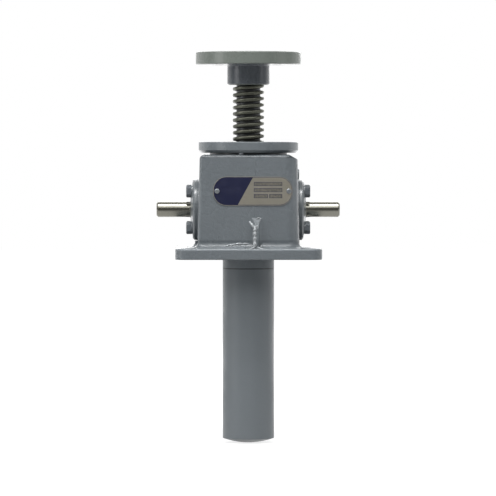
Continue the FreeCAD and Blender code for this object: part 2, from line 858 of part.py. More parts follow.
def lifting_screw():
    """Screw on its major diameter, with a spigot for the plate and a tail for the stop disc."""
    tail_r = screw_tail_d / 2
    tail_top_z = screw_bottom_z + stop_thick
    spigot_r = screw_spigot_d / 2
    spigot_top_z = plate_top_z - spigot_recess
    c = screw_end_chamfer
    body = turned([(0, screw_bottom_z), (tail_r, screw_bottom_z), (tail_r, tail_top_z),
                   (screw_r - c, tail_top_z), (screw_r, tail_top_z + c), (screw_r, screw_shoulder_z - c),
                   (screw_r - c, screw_shoulder_z), (spigot_r, screw_shoulder_z),
                   (spigot_r, spigot_top_z - c), (spigot_r - c, spigot_top_z), (0, spigot_top_z)])
    return body.cut(stop_pin_rod(seat_gap))


def plate_bolt_holes():
    holes = []
    for k in range(plate_bolt_count):
        turn = 2 * math.pi * (k + 0.5) / plate_bolt_count
        x = plate_bolt_circle_d / 2 * math.cos(turn)
        y = plate_bolt_circle_d / 2 * math.sin(turn)
        holes.append(rod(plate_bolt_d / 2, plate_low_z - overrun, plate_top_z + overrun, x, y))
    return holes


def top_plate():
    hub = hub_d / 2
    rim = plate_d / 2
    bore = screw_spigot_d / 2 + seat_gap
    body = turned([(bore, screw_shoulder_z), (hub - hub_chamfer, screw_shoulder_z),
                   (hub, screw_shoulder_z + hub_chamfer), (hub, plate_low_z), (rim, plate_low_z),
                   (rim, plate_top_z), (bore, plate_top_z)])
    flat = level_edges(body, plate_low_z) + level_edges(body, plate_top_z)
    body = body.makeFillet(plate_edge_r, [e for e in flat if e.BoundBox.XMax > rim - plate_edge_r])
    neck = [e for e in level_edges(body, plate_low_z) if e.BoundBox.XMax < hub + plate_edge_r]
    body = body.makeFillet(hub_fillet_r, neck)
    return body.cut(plate_bolt_holes() + [plate_screw_hole()])


def plate_screw_hole():
    start = V(0, screw_spigot_d / 2 - overrun, plate_low_z - plate_screw_drop)
    return Part.makeCylinder(plate_screw_d / 2 + thread_gap, hub_d / 2, start, y_axis)


def plate_set_screw():
    """Set screw at the back of the hub that bears on the spigot."""
    length = (hub_d - screw_spigot_d) / 2 - plate_screw_recess
    screw = rod(plate_screw_d / 2, 0, length)
    screw = screw.cut(hexagon(plate_screw_d / 2, length - plate_screw_socket, length + overrun))
    start = V(0, screw_spigot_d / 2, plate_low_z - plate_screw_drop)
    screw.Placement = FreeCAD.Placement(start, FreeCAD.Rotation(z_axis, y_axis))
    return screw


def stop_disc():
    body = ring(stop_r, screw_tail_d / 2 + seat_gap, screw_bottom_z, screw_bottom_z + stop_thick)
    return body.cut(stop_pin_rod(seat_gap))


def stop_pin_rod(grow=0.0):
    half = stop_r - stop_pin_recess + grow
    start = V(-half, 0, screw_bottom_z + stop_thick / 2)
    return Part.makeCylinder(stop_pin_d / 2 + grow, 2 * half, start, x_axis)


def pieces():
    lower_cone, upper_cone = gear_bearing(gear_cone)
    lower_cup, upper_cup = gear_bearing(gear_cup)
    left_cone, right_cone = worm_bearing(worm_cone)
    left_cup, right_cup = worm_bearing(worm_cup)
    sided = {"bearing_cover": bearing_cover(), "cover_shim": cover_shim(), "shaft_seal": shaft_seal(),
             "cover_bolts": cover_bolts(), "cover_washers": cover_washers()}
    nodes = {"housing": housing(), "shell_cap": shell_cap(), "cap_set_screws": cap_set_screws(),
             "upper_guide_bushing": upper_guide_bushing(), "screw_wiper": screw_wiper(),
             "tube_adapter": tube_adapter(), "lower_guide_bushing": lower_guide_bushing(),
             "protective_tube": protective_tube(), "tube_end_cap": tube_end_cap(),
             "lower_gear_bearing_cup": lower_cup, "upper_gear_bearing_cup": upper_cup,
             "lower_gear_bearing_cone": lower_cone, "upper_gear_bearing_cone": upper_cone,
             "left_worm_bearing_cup": left_cup, "right_worm_bearing_cup": right_cup,
             "left_worm_bearing_cone": left_cone, "right_worm_bearing_cone": right_cone,
             "nameplate": nameplate(), "nameplate_rivets": nameplate_rivets(), "grease_plug": grease_plug(),
             "worm_gear": worm_gear(), "worm_shaft": worm_shaft(), "lifting_screw": lifting_screw(),
             "top_plate": top_plate(), "plate_set_screw": plate_set_screw(), "stop_disc": stop_disc(),
             "stop_pin": stop_pin_rod()}
    for name, shape in sided.items():
        nodes["right_" + name] = shape
        nodes["left_" + name] = mirrored(shape)
    return nodes


os.makedirs("parts", exist_ok=True)
for name, shape in pieces().items():
    shape.exportStep("parts/" + name + ".step")
    print(name, len(shape.Solids), round(shape.Volume), shape.isValid())
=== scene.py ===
# Looks of the worm screw jack, built around its CAD frame. Lengths are metres.
import math

import bmesh
import bpy
from mathutils import Matrix, Vector


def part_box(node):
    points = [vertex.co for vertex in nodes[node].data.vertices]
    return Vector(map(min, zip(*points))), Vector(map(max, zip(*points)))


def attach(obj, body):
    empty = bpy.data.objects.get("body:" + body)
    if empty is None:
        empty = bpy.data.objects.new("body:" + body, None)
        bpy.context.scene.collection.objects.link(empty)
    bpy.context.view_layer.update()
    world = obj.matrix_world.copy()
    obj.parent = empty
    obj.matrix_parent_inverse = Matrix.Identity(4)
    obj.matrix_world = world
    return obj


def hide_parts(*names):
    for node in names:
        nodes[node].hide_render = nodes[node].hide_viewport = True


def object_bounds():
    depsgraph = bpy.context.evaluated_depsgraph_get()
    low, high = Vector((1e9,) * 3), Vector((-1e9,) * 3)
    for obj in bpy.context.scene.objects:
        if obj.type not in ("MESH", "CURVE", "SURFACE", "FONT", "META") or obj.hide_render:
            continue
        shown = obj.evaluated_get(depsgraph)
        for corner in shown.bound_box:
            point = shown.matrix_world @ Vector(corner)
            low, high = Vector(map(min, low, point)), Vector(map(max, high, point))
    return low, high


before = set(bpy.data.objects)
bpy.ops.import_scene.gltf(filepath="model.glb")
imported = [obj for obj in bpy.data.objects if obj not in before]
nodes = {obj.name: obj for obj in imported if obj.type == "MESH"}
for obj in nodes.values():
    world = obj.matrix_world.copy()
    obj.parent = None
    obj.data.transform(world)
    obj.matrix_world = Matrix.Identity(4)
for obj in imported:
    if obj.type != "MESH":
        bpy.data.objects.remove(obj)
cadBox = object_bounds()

scene = bpy.context.scene
up = Vector((0, 0, 1))
right = Vector((1, 0, 0))
white = (1, 1, 1, 1)
weldWithin = 1e-6    # points nearer than this become one
cutWithin = 1e-7     # points nearer to a cutting plane than this lie on it


# Mesh helpers

def linkMesh(bm, name, material):
    mesh = bpy.data.meshes.new(name)
    bm.to_mesh(mesh)
    bm.free()
    mesh.materials.append(material)
    thing = bpy.data.objects.new(name, mesh)
    scene.collection.objects.link(thing)
    return thing


def finishPiece(bm, name, body, material, smoothTo, replaced=()):
    # smoothTo is the widest angle between faces, in degrees, that is still shaded smooth
    bmesh.ops.remove_doubles(bm, verts=bm.verts, dist=weldWithin)
    bmesh.ops.recalc_face_normals(bm, faces=bm.faces)
    piece = linkMesh(bm, name, material)
    piece.data.shade_smooth()
    piece.data.set_sharp_from_angle(angle=math.radians(smoothTo))
    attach(piece, body)
    if replaced:
        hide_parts(*replaced)


def edgesOf(verts):
    return list(dict.fromkeys(e for v in verts for e in v.link_edges))


def addLine(bm, points, close=False):
    verts = [bm.verts.new(p) for p in points]
    pairs = list(zip(verts, verts[1:]))
    if close:
        pairs.append((verts[-1], verts[0]))
    return verts, [bm.edges.new(p) for p in pairs]


def spinProfile(bm, profile, steps):
    # profile is (radius, height) pairs round a closed outline, spun about Z
    verts, edges = addLine(bm, [(r, 0, z) for r, z in profile], close=True)
    bmesh.ops.spin(bm, geom=verts + edges, cent=(0, 0, 0), axis=up, angle=math.tau,
                   steps=steps, use_merge=True, use_normal_flip=False, use_duplicate=False)


def loftTube(bm, stations, sides):
    # stations are (x, y, z, radius) along a path; the ends are closed
    points = [Vector(s[:3]) for s in stations]
    loops = []
    for k, station in enumerate(stations):
        along = points[min(k + 1, len(points) - 1)] - points[max(k - 1, 0)]
        place = Matrix.Translation(points[k]) @ along.to_track_quat("Z", "Y").to_matrix().to_4x4()
        ring = bmesh.ops.create_circle(bm, segments=sides, radius=station[3], matrix=place)
        loops.append(edgesOf(ring["verts"]))
    for first, second in zip(loops, loops[1:]):
        bmesh.ops.bridge_loops(bm, edges=first + second)
    for end in (loops[0], loops[-1]):
        bmesh.ops.contextual_create(bm, geom=end)


def cutAcross(bm, height, keepAbove):
    # cuts level at a height, drops one side and closes the cut
    geometry = bm.verts[:] + bm.edges[:] + bm.faces[:]
    bmesh.ops.bisect_plane(bm, geom=geometry, plane_co=(0, 0, height), plane_no=up,
                           clear_inner=keepAbove, clear_outer=not keepAbove, dist=cutWithin)
    edge = [e for e in bm.edges
            if e.is_boundary and all(abs(v.co.z - height) < weldWithin for v in e.verts)]
    bmesh.ops.contextual_create(bm, geom=edge)


# Node helpers

noiseRoughness = 0.55
mixInputs = (0, 6, 7)    # the factor and the two colours of a Mix node for colours
mixResult = 2


def addNode(tree, kind, **values):
    node = tree.nodes.new(kind)
    for key, value in values.items():
        setattr(node, key, value)
    return node


def setInput(tree, socket, source):
    # a source is a socket to link or a plain value
    if isinstance(source, bpy.types.NodeSocket):
        tree.links.new(source, socket)
    else:
        socket.default_value = source


def feed(tree, node, **sources):
    # an underscore in a name stands for a space
    for key, source in sources.items():
        setInput(tree, node.inputs[key.replace("_", " ")], source)
    return node


def mathNode(tree, operation, a, b=0.0, clamp=False):
    node = addNode(tree, "ShaderNodeMath", operation=operation, use_clamp=clamp)
    setInput(tree, node.inputs[0], a)
    setInput(tree, node.inputs[1], b)
    return node.outputs[0]


def mathChain(tree, operation, *sources):
    # one operation over several sources, from the first to the last
    total = sources[0]
    for source in sources[1:]:
        total = mathNode(tree, operation, total, source)
    return total


def ramp(tree, value, limits=(0.0, 1.0), ends=(0.0, 1.0)):
    # goes smoothly from one end to the other as the value goes from one limit to the other
    node = addNode(tree, "ShaderNodeMapRange", interpolation_type="SMOOTHSTEP")
    feed(tree, node, Value=value, From_Min=limits[0], From_Max=limits[1], To_Min=ends[0], To_Max=ends[1])
    return node.outputs["Result"]


def mixColour(tree, factor, a, b):
    node = addNode(tree, "ShaderNodeMix", data_type="RGBA")
    for index, source in zip(mixInputs, (factor, a, b)):
        setInput(tree, node.inputs[index], source)
    return node.outputs[mixResult]


def splitAxes(tree, vector):
    split = addNode(tree, "ShaderNodeSeparateXYZ")
    tree.links.new(vector, split.inputs[0])
    return split.outputs


def vectorLength(tree, vector):
    length = addNode(tree, "ShaderNodeVectorMath", operation="LENGTH")
    tree.links.new(vector, length.inputs[0])
    return length.outputs["Value"]


def noise(tree, vector, scale, detail):
    node = addNode(tree, "ShaderNodeTexNoise")
    feed(tree, node, Vector=vector, Scale=scale, Detail=detail, Roughness=noiseRoughness)
    return node.outputs["Fac"]


def noiseMask(tree, vector, scale, detail, limits, ends=(0.0, 1.0)):
    return ramp(tree, noise(tree, vector, scale, detail), limits, ends)


def stretchedNoise(tree, vector, stretch, scale, detail):
    # stretch is a factor for each axis, and a small one draws the noise out along its axis
    mapping = feed(tree, addNode(tree, "ShaderNodeMapping"), Vector=vector, Scale=stretch)
    return noise(tree, mapping.outputs[0], scale, detail)


def colour(hexText):
    # sRGB hex to linear
    parts = [int(hexText[k:k + 2], 16) / 255 for k in (0, 2, 4)]
    return [p / 12.92 if p <= 0.04045 else ((p + 0.055) / 1.055) ** 2.4 for p in parts] + [1.0]


def makeGroup(name, inputs, outputs):
    # inputs are (label, kind, value) and outputs (label, kind)
    group = bpy.data.node_groups.new(name, "ShaderNodeTree")
    for label, kind, value in inputs:
        socket = group.interface.new_socket(label, in_out="INPUT", socket_type="NodeSocket" + kind)
        if value is not None:
            socket.default_value = value
    for label, kind in outputs:
        group.interface.new_socket(label, in_out="OUTPUT", socket_type="NodeSocket" + kind)
    return group, group.nodes.new("NodeGroupInput"), group.nodes.new("NodeGroupOutput")


def useGroup(tree, group, **values):
    node = addNode(tree, "ShaderNodeGroup", node_tree=group)
    return feed(tree, node, **values)


# Shared surface effects

grainLayers = {"Fine": {"scale": 900.0, "detail": 2.0, "amount": 0.2},
               "Peel": {"scale": 240.0, "detail": 2.0, "amount": 0.4},
               "Wave": {"scale": 45.0, "detail": 1.5, "amount": 0.6}}


def makeGrainGroup():
    # fine sand grain, mid orange peel and slow waviness, as one height
    inputs = [("Vector", "Vector", None)]
    inputs += [(layer + " Scale", "Float", look["scale"]) for layer, look in grainLayers.items()]
    inputs += [(layer, "Float", look["amount"]) for layer, look in grainLayers.items()]
    group, source, sink = makeGroup("surfaceGrain", inputs, [("Height", "Float")])
    heights = []
    for layer, look in grainLayers.items():
        value = noise(group, source.outputs["Vector"], source.outputs[layer + " Scale"], look["detail"])
        heights.append(mathNode(group, "MULTIPLY", value, source.outputs[layer]))
    group.links.new(mathChain(group, "ADD", *heights), sink.inputs["Height"])
    return group


edgeLook = {"radius": 0.0006, "breakScale": 160.0, "amount": 0.5, "samples": 6, "bend": (0.99, 0.8),
            "broken": {"detail": 4.0, "limits": (0.42, 0.66)}}


def makeEdgeGroup():
    # worn edges, from the angle between the true normal and a rounded one
    inputs = [("Vector", "Vector", None), ("Radius", "Float", edgeLook["radius"]),
              ("Break Scale", "Float", edgeLook["breakScale"]), ("Amount", "Float", edgeLook["amount"])]
    group, source, sink = makeGroup("edgeWear", inputs, [("Mask", "Float"), ("Normal", "Vector")])
    given = source.outputs
    rounded = addNode(group, "ShaderNodeBevel", samples=edgeLook["samples"])
    feed(group, rounded, Radius=given["Radius"])
    geometry = addNode(group, "ShaderNodeNewGeometry")
    dot = addNode(group, "ShaderNodeVectorMath", operation="DOT_PRODUCT")
    group.links.new(rounded.outputs[0], dot.inputs[0])
    group.links.new(geometry.outputs["Normal"], dot.inputs[1])
    bend = ramp(group, dot.outputs["Value"], edgeLook["bend"])
    broken = noiseMask(group, given["Vector"], given["Break Scale"], **edgeLook["broken"])
    worn = mathChain(group, "MULTIPLY", bend, broken, given["Amount"])
    group.links.new(worn, sink.inputs["Mask"])
    group.links.new(rounded.outputs[0], sink.inputs["Normal"])
    return group


toneLook = {"base": (0.2, 0.2, 0.2, 1), "shade": (0.1, 0.1, 0.1, 1), "dustShade": (0.4, 0.4, 0.38, 1),
            "drift": 0.3, "dustShadeAmount": 0.12, "speckShare": 0.10, "facing": (0.35, 0.85),
            "cloud": {"scale": 22.0, "detail": 4.0, "limits": (0.3, 0.72)},
            "speck": {"scale": 620.0, "detail": 2.0, "limits": (0.58, 0.74)},
            "patch": {"scale": 60.0, "detail": 5.0, "limits": (0.35, 0.8)}}


def makeToneGroup():
    # slow drift and fine specks in a paint's colour, with darker oily dust and painted shade where a face
    # looks up
    inputs = [("Vector", "Vector", None), ("Base", "Color", toneLook["base"]),
              ("Shade", "Color", toneLook["shade"]), ("Dust", "Color", toneLook["dustShade"]),
              ("Drift", "Float", toneLook["drift"]), ("Dust Amount", "Float", toneLook["dustShadeAmount"])]
    group, source, sink = makeGroup("paintTone", inputs, [("Color", "Color"), ("Cloud", "Float")])
    given = source.outputs
    cloud = noiseMask(group, given["Vector"], **toneLook["cloud"])
    speck = noiseMask(group, given["Vector"], **toneLook["speck"])
    patch = noiseMask(group, given["Vector"], **toneLook["patch"])
    geometry = addNode(group, "ShaderNodeNewGeometry")
    facing = ramp(group, splitAxes(group, geometry.outputs["Normal"])["Z"], toneLook["facing"])
    drift = mathNode(group, "MULTIPLY", cloud, given["Drift"])
    tone = mixColour(group, drift, given["Base"], given["Shade"])
    specks = mathNode(group, "MULTIPLY", speck, toneLook["speckShare"])
    tone = mixColour(group, specks, tone, given["Shade"])
    # darker where a face looks up: oily dust and painted shade
    dustShade = mathChain(group, "MULTIPLY", facing, patch, given["Dust Amount"])
    tone = mixColour(group, dustShade, tone, given["Dust"])
    group.links.new(tone, sink.inputs["Color"])
    group.links.new(cloud, sink.inputs["Cloud"])
    return group


grainGroup = makeGrainGroup()
edgeGroup = makeEdgeGroup()
toneGroup = makeToneGroup()
print("surface effects made")


# Materials

def blankMaterial(name):
    material = bpy.data.materials.new(name)
    material.use_nodes = True
    material.node_tree.nodes.clear()
    return material, material.node_tree


def newMaterial(name):
    material, tree = blankMaterial(name)
    shader = tree.nodes.new("ShaderNodeBsdfPrincipled")
    output = tree.nodes.new("ShaderNodeOutputMaterial")
    tree.links.new(shader.outputs[0], output.inputs[0])
    place = tree.nodes.new("ShaderNodeTexCoord")
    return material, tree, shader, place.outputs["Object"]


def addBump(tree, shader, height, depth, normal=None):
    bump = addNode(tree, "ShaderNodeBump")
    feed(tree, bump, Height=height, Strength=1.0, Distance=depth)
    if normal is not None:
        tree.links.new(normal, bump.inputs["Normal"])
    tree.links.new(bump.outputs[0], shader.inputs["Normal"])


def addCoat(tree, where, base, shade, coat):
    # other tones over a band of heights: "about" is its middle, and "fade" how far from
    # there the band begins and how far from there it is full
    off = mathNode(tree, "SUBTRACT", splitAxes(tree, where)["Z"], coat["about"])
    mask = ramp(tree, mathNode(tree, "ABSOLUTE", off), coat["fade"])
    base = mixColour(tree, mask, base, colour(coat["base"]))
    return base, mixColour(tree, mask, shade, colour(coat["shade"]))


def makePaint(name, settings):
    material, tree, shader, where = newMaterial(name)
    base, shade = colour(settings["base"]), colour(settings["shade"])
    for coat in settings["coats"]:
        base, shade = addCoat(tree, where, base, shade, coat)
    tone = useGroup(tree, toneGroup, Vector=where, Base=base, Shade=shade, Dust=colour(settings["dustShade"]),
                    Drift=settings["drift"], Dust_Amount=settings["dustShadeAmount"])
    edge = useGroup(tree, edgeGroup, Vector=where, Radius=settings["edgeRadius"], Amount=settings["wear"])
    grain = useGroup(tree, grainGroup, Vector=where, Fine=settings["fine"], Peel=settings["peel"],
                     Wave=settings["wave"])
    painted = mixColour(tree, edge.outputs["Mask"], tone.outputs["Color"], colour(settings["worn"]))
    rough = ramp(tree, tone.outputs["Cloud"], ends=settings["rough"])
    feed(tree, shader, Base_Color=painted, Roughness=rough, Metallic=settings["metallic"],
         Specular_IOR_Level=settings["specular"])
    addBump(tree, shader, grain.outputs["Height"], settings["depth"], edge.outputs["Normal"])
    return material


# the dust colour is darker than the paint, so faces that look up get dust and painted shade
castPaint = {"base": "70767a", "shade": "666c70", "dustShade": "5a5f61", "worn": "7b7f82", "coats": [],
             "drift": 0.5, "dustShadeAmount": 0.6, "edgeRadius": 0.0007, "wear": 0.25, "fine": 0.30, "peel": 1.0,
             "wave": 0.5, "rough": (0.24, 0.32), "specular": 0.45, "metallic": 0.0, "depth": 0.00045}
# painted shade under the cap's overhang: the casing's brow is darker
browShade = {"about": 0.1060, "fade": (0.0045, 0.0025), "base": "4a5054", "shade": "454b4f"}
# painted highlight: a lighter band along the flange's rounded top front edge
flangeEdgeHighlight = {"about": 0.0106, "fade": (0.0018, 0.0008), "base": "7d8387", "shade": "777d81"}
# painted shade: a darker band along the fillet between the casing and the flange
filletDust = {"about": 0.0160, "fade": (0.0046, 0.0026), "base": "5f6569", "shade": "595f63"}
casingPaint = dict(castPaint, coats=[browShade, flangeEdgeHighlight, filletDust])
smoothPaint = dict(castPaint, fine=0.15, peel=0.45, depth=0.00025, edgeRadius=0.0005)
coverPaint = dict(smoothPaint, base="6a7074", shade="61676b", specular=1.0, rough=(0.28, 0.36))
# painted highlight: the casting marks are lighter and partly metallic so that they shine
castMarksHighlightPaint = dict(castPaint, base="9b9fa2", shade="adb1b3", worn="c6cacb", fine=0.1, peel=0.3, wave=0.2,
                   wear=0.9, edgeRadius=0.0003, rough=(0.16, 0.26), metallic=0.3)
# the hub under the plate is darker and bluer: a bluer tone of its own, and painted shade from the plate above
hubToneAndShade = {"about": 0.1870, "fade": (0.0105, 0.0095), "base": "62676d", "shade": "5b6066"}
platePaint = dict(smoothPaint, base="747a74", shade="6a706b", worn="84887f", coats=[hubToneAndShade])
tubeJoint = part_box("protective_tube")[1].z
seamDirt = {"about": tubeJoint, "fade": (0.0007, 0.0004), "base": "404447", "shade": "404447"}
tubePaint = dict(smoothPaint, base="73797d", shade="6c7276", rough=(0.36, 0.48), drift=0.4, coats=[seamDirt])
boltPaint = dict(smoothPaint, base="70757a", shade="62676b", worn="9a9ea0", wear=0.5, peel=0.6)


def makeTurnedSteel(name, settings):
    material, tree, shader, where = newMaterial(name)
    lines = stretchedNoise(tree, where, **settings["lines"])
    stains = noiseMask(tree, where, **settings["stains"])
    tone = mixColour(tree, lines, colour(settings["base"]), colour(settings["line"]))
    stained = mathNode(tree, "MULTIPLY", stains, settings["stainShare"])
    tone = mixColour(tree, stained, tone, colour(settings["stained"]))
    rough = ramp(tree, stains, ends=settings["rough"])
    feed(tree, shader, Base_Color=tone, Roughness=rough, Metallic=settings["metallic"])
    edge = useGroup(tree, edgeGroup, Radius=settings["edgeRadius"])
    addBump(tree, shader, lines, settings["depth"], edge.outputs["Normal"])
    return material


turnedAboutX = {"stretch": (1.0, 0.05, 0.05), "scale": 2600.0, "detail": 2.0}
turnedAboutZ = dict(turnedAboutX, stretch=(0.05, 0.05, 1.0))
evenGrain = dict(turnedAboutX, stretch=(1, 1, 1), scale=900.0)
shaftFinish = {"base": "8f8e86", "line": "828178", "stained": "6d6a60", "lines": turnedAboutX,
               "stains": {"scale": 38.0, "detail": 4.0, "limits": (0.35, 0.75)}, "stainShare": 0.3,
               "rough": (0.20, 0.24), "metallic": 1.0, "depth": 0.000005, "edgeRadius": 0.0003}
bearingFinish = dict(shaftFinish, base="b9bbbd", line="a6a8ab", lines=turnedAboutZ, stainShare=0.1)
bronzeFinish = dict(shaftFinish, base="b98b4e", line="a67a41", stained="7d5a2e", lines=turnedAboutZ)
shimFinish = dict(shaftFinish, base="6c7276", line="656b6f", stained="5a5f62", lines=evenGrain,
                  rough=(0.40, 0.50), metallic=0.2)
zincFinish = dict(shaftFinish, base="9ca1a6", line="8d9297", stained="777a7c", lines=evenGrain,
                  rough=(0.42, 0.52))
setScrewFinish = dict(shaftFinish, base="3a3a3a", line="303030", stained="4a463e", lines=evenGrain)


def makeGreasedSteel(name, settings):
    # dark oiled steel, lighter on the crests as a painted highlight, with patches of olive grease
    material, tree, shader, where = newMaterial(name)
    axes = splitAxes(tree, where)
    level = feed(tree, addNode(tree, "ShaderNodeCombineXYZ"), X=axes["X"], Y=axes["Y"])
    crest = ramp(tree, vectorLength(tree, level.outputs[0]), settings["radii"])
    patch = noiseMask(tree, where, **settings["patches"])
    tone = mixColour(tree, crest, colour(settings["root"]), colour(settings["crest"]))
    greased = mathNode(tree, "MULTIPLY", patch, settings["greaseShare"])
    tone = mixColour(tree, greased, tone, colour(settings["grease"]))
    rough = ramp(tree, patch, ends=settings["rough"])
    feed(tree, shader, Base_Color=tone, Roughness=rough, Metallic=settings["metallic"])
    grain = useGroup(tree, grainGroup, Vector=where, **settings["grain"])
    addBump(tree, shader, grain.outputs["Height"], settings["depth"])
    return material


# the crest colour is lighter than the root colour: a painted highlight along the thread's crests
screwFinish = {"root": "3b3c3e", "crest": "5f6055", "grease": "46473f", "radii": (0.0124, 0.0157),
               "patches": {"scale": 130.0, "detail": 4.0, "limits": (0.30, 0.70)}, "greaseShare": 0.5,
               "grain": {"Fine": 0.4, "Peel": 0.8, "Wave": 0.3}, "rough": (0.34, 0.50), "metallic": 0.6,
               "depth": 0.00005}


def makeRubber(name, settings):
    material, tree, shader, where = newMaterial(name)
    cloud = noise(tree, where, settings["scale"], settings["detail"])
    tone = mixColour(tree, cloud, colour(settings["dark"]), colour(settings["light"]))
    feed(tree, shader, Base_Color=tone, Roughness=ramp(tree, cloud, settings["limits"], settings["rough"]))
    grain = useGroup(tree, grainGroup, Vector=where, **settings["grain"])
    addBump(tree, shader, grain.outputs["Height"], settings["depth"])
    return material


sealFinish = {"dark": "161616", "light": "262524", "scale": 90.0, "detail": 4.0, "limits": (0.2, 0.8),
              "rough": (0.55, 0.75), "grain": {"Fine": 0.6, "Peel": 0.3, "Wave": 0.1}, "depth": 0.00005}


def insideBand(tree, value, low, high):
    above = mathNode(tree, "GREATER_THAN", value, low)
    below = mathNode(tree, "LESS_THAN", value, high)
    return mathNode(tree, "MULTIPLY", above, below)


def insideBox(tree, u, v, box):
    # box is (left, right, foot, head)
    across = insideBand(tree, u, *box[:2])
    return mathNode(tree, "MULTIPLY", across, insideBand(tree, v, *box[2:]))


def boxOutline(tree, u, v, box, line):
    inner = [side + inset for side, inset in zip(box, (line, -line, line, -line))]
    return mathNode(tree, "SUBTRACT", insideBox(tree, u, v, box), insideBox(tree, u, v, inner))


def roundedDistance(tree, u, v, halfWidth, halfHeight, radius):
    # distance outside a rounded rectangle, negative inside it
    squares = []
    for value, half in ((u, halfWidth), (v, halfHeight)):
        past = mathNode(tree, "SUBTRACT", mathNode(tree, "ABSOLUTE", value), half - radius)
        squares.append(mathNode(tree, "POWER", mathNode(tree, "MAXIMUM", past, 0.0), 2.0))
    return mathNode(tree, "SUBTRACT", mathNode(tree, "SQRT", mathChain(tree, "ADD", *squares)), radius)


def drawPlate(tree, u, v, distance, settings):
    # masks of the slanted panel, of all thin lines and of the insides of the boxes
    edge = -settings["margin"]
    field = mathNode(tree, "LESS_THAN", distance, edge)
    slant = mathNode(tree, "ADD", u, mathNode(tree, "MULTIPLY", v, settings["slant"]))
    panel = mathNode(tree, "MULTIPLY", field, mathNode(tree, "LESS_THAN", slant, settings["divide"]))
    rim = insideBand(tree, distance, edge - settings["line"], edge)
    lines = [boxOutline(tree, u, v, box, settings["line"]) for box in settings["boxes"]]
    lines.append(mathNode(tree, "SUBTRACT", rim, panel, clamp=True))
    filled = [insideBox(tree, u, v, box) for box in settings["boxes"]]
    return panel, mathChain(tree, "MAXIMUM", *lines), mathChain(tree, "MAXIMUM", *filled)


def makePlateMaterial(name, settings, low, high):
    # low and high are the corners of the plate
    material, tree, shader, where = newMaterial(name)
    axes = splitAxes(tree, where)
    middle = (low + high) / 2
    u = mathNode(tree, "SUBTRACT", axes["X"], middle.x)
    v = mathNode(tree, "SUBTRACT", axes["Z"], middle.z)
    halfWidth, halfHeight = (high.x - low.x) / 2, (high.z - low.z) / 2
    distance = roundedDistance(tree, u, v, halfWidth, halfHeight, settings["cornerRadius"])
    panel, lines, filled = drawPlate(tree, u, v, distance, settings)
    brushed = stretchedNoise(tree, where, **settings["brush"])
    metal = mixColour(tree, brushed, colour(settings["metal"]), colour(settings["brushed"]))
    stains = noiseMask(tree, where, **settings["stains"])
    stained = mathNode(tree, "MULTIPLY", stains, settings["stainShare"])
    metal = mixColour(tree, stained, metal, colour(settings["stained"]))
    speckled = noiseMask(tree, where, **settings["speckle"])
    metal = mixColour(tree, mathNode(tree, "MULTIPLY", filled, speckled), metal, colour(settings["fill"]))
    tone = mixColour(tree, panel, metal, colour(settings["navy"]))
    tone = mixColour(tree, lines, tone, colour(settings["ink"]))
    inked = mathNode(tree, "MAXIMUM", panel, lines)
    shine = mathNode(tree, "MULTIPLY", mathNode(tree, "SUBTRACT", 1.0, inked), settings["metallic"])
    feed(tree, shader, Base_Color=tone, Roughness=ramp(tree, stains, ends=settings["rough"]), Metallic=shine)
    relief = mathNode(tree, "MULTIPLY", brushed, settings["brushRelief"])
    addBump(tree, shader, mathNode(tree, "ADD", relief, inked), settings["depth"])
    return material


plateArt = {
    "cornerRadius": 0.0132, "margin": 0.0004, "line": 0.0005, "slant": -0.55, "divide": -0.0075,
    "navy": "161a38", "ink": "34374f", "fill": "6b6963", "metal": "b0ab9f", "brushed": "9e9a8c",
    "stained": "878379", "stains": {"scale": 70.0, "detail": 5.0, "limits": (0.4, 0.75)}, "stainShare": 0.35,
    "brush": {"stretch": (0.04, 0.04, 1.0), "scale": 4200.0, "detail": 2.0}, "brushRelief": 0.25,
    "speckle": {"scale": 900.0, "detail": 2.0, "limits": (0.3, 0.7), "ends": (0.4, 0.9)},
    "rough": (0.34, 0.48), "metallic": 0.65, "depth": 0.00003,
    "boxes": [(0.001, 0.0295, 0.0052, 0.0092), (0.001, 0.0295, -0.0009, 0.0031),
              (0.001, 0.0150, -0.0070, -0.0030), (0.0165, 0.0295, -0.0070, -0.0030)],
}

castEnamel = makePaint("castEnamel", castPaint)
casingEnamel = makePaint("casingEnamel", casingPaint)
smoothEnamel = makePaint("smoothEnamel", smoothPaint)
coverEnamel = makePaint("coverEnamel", coverPaint)
castMarksHighlightEnamel = makePaint("castMarksHighlightEnamel", castMarksHighlightPaint)
plateEnamel = makePaint("plateEnamel", platePaint)
tubeEnamel = makePaint("tubeEnamel", tubePaint)
boltEnamel = makePaint("boltEnamel", boltPaint)
shaftSteel = makeTurnedSteel("shaftSteel", shaftFinish)
bearingSteel = makeTurnedSteel("bearingSteel", bearingFinish)
bronze = makeTurnedSteel("bronze", bronzeFinish)
zinc = makeTurnedSteel("zinc", zincFinish)
paintedShim = makeTurnedSteel("paintedShim", shimFinish)
blackSteel = makeTurnedSteel("blackSteel", setScrewFinish)
greasedSteel = makeGreasedSteel("greasedSteel", screwFinish)
sealRubber = makeRubber("sealRubber", sealFinish)
nameplateMetal = makePlateMaterial("nameplateMetal", plateArt, *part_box("nameplate"))
print("materials made")

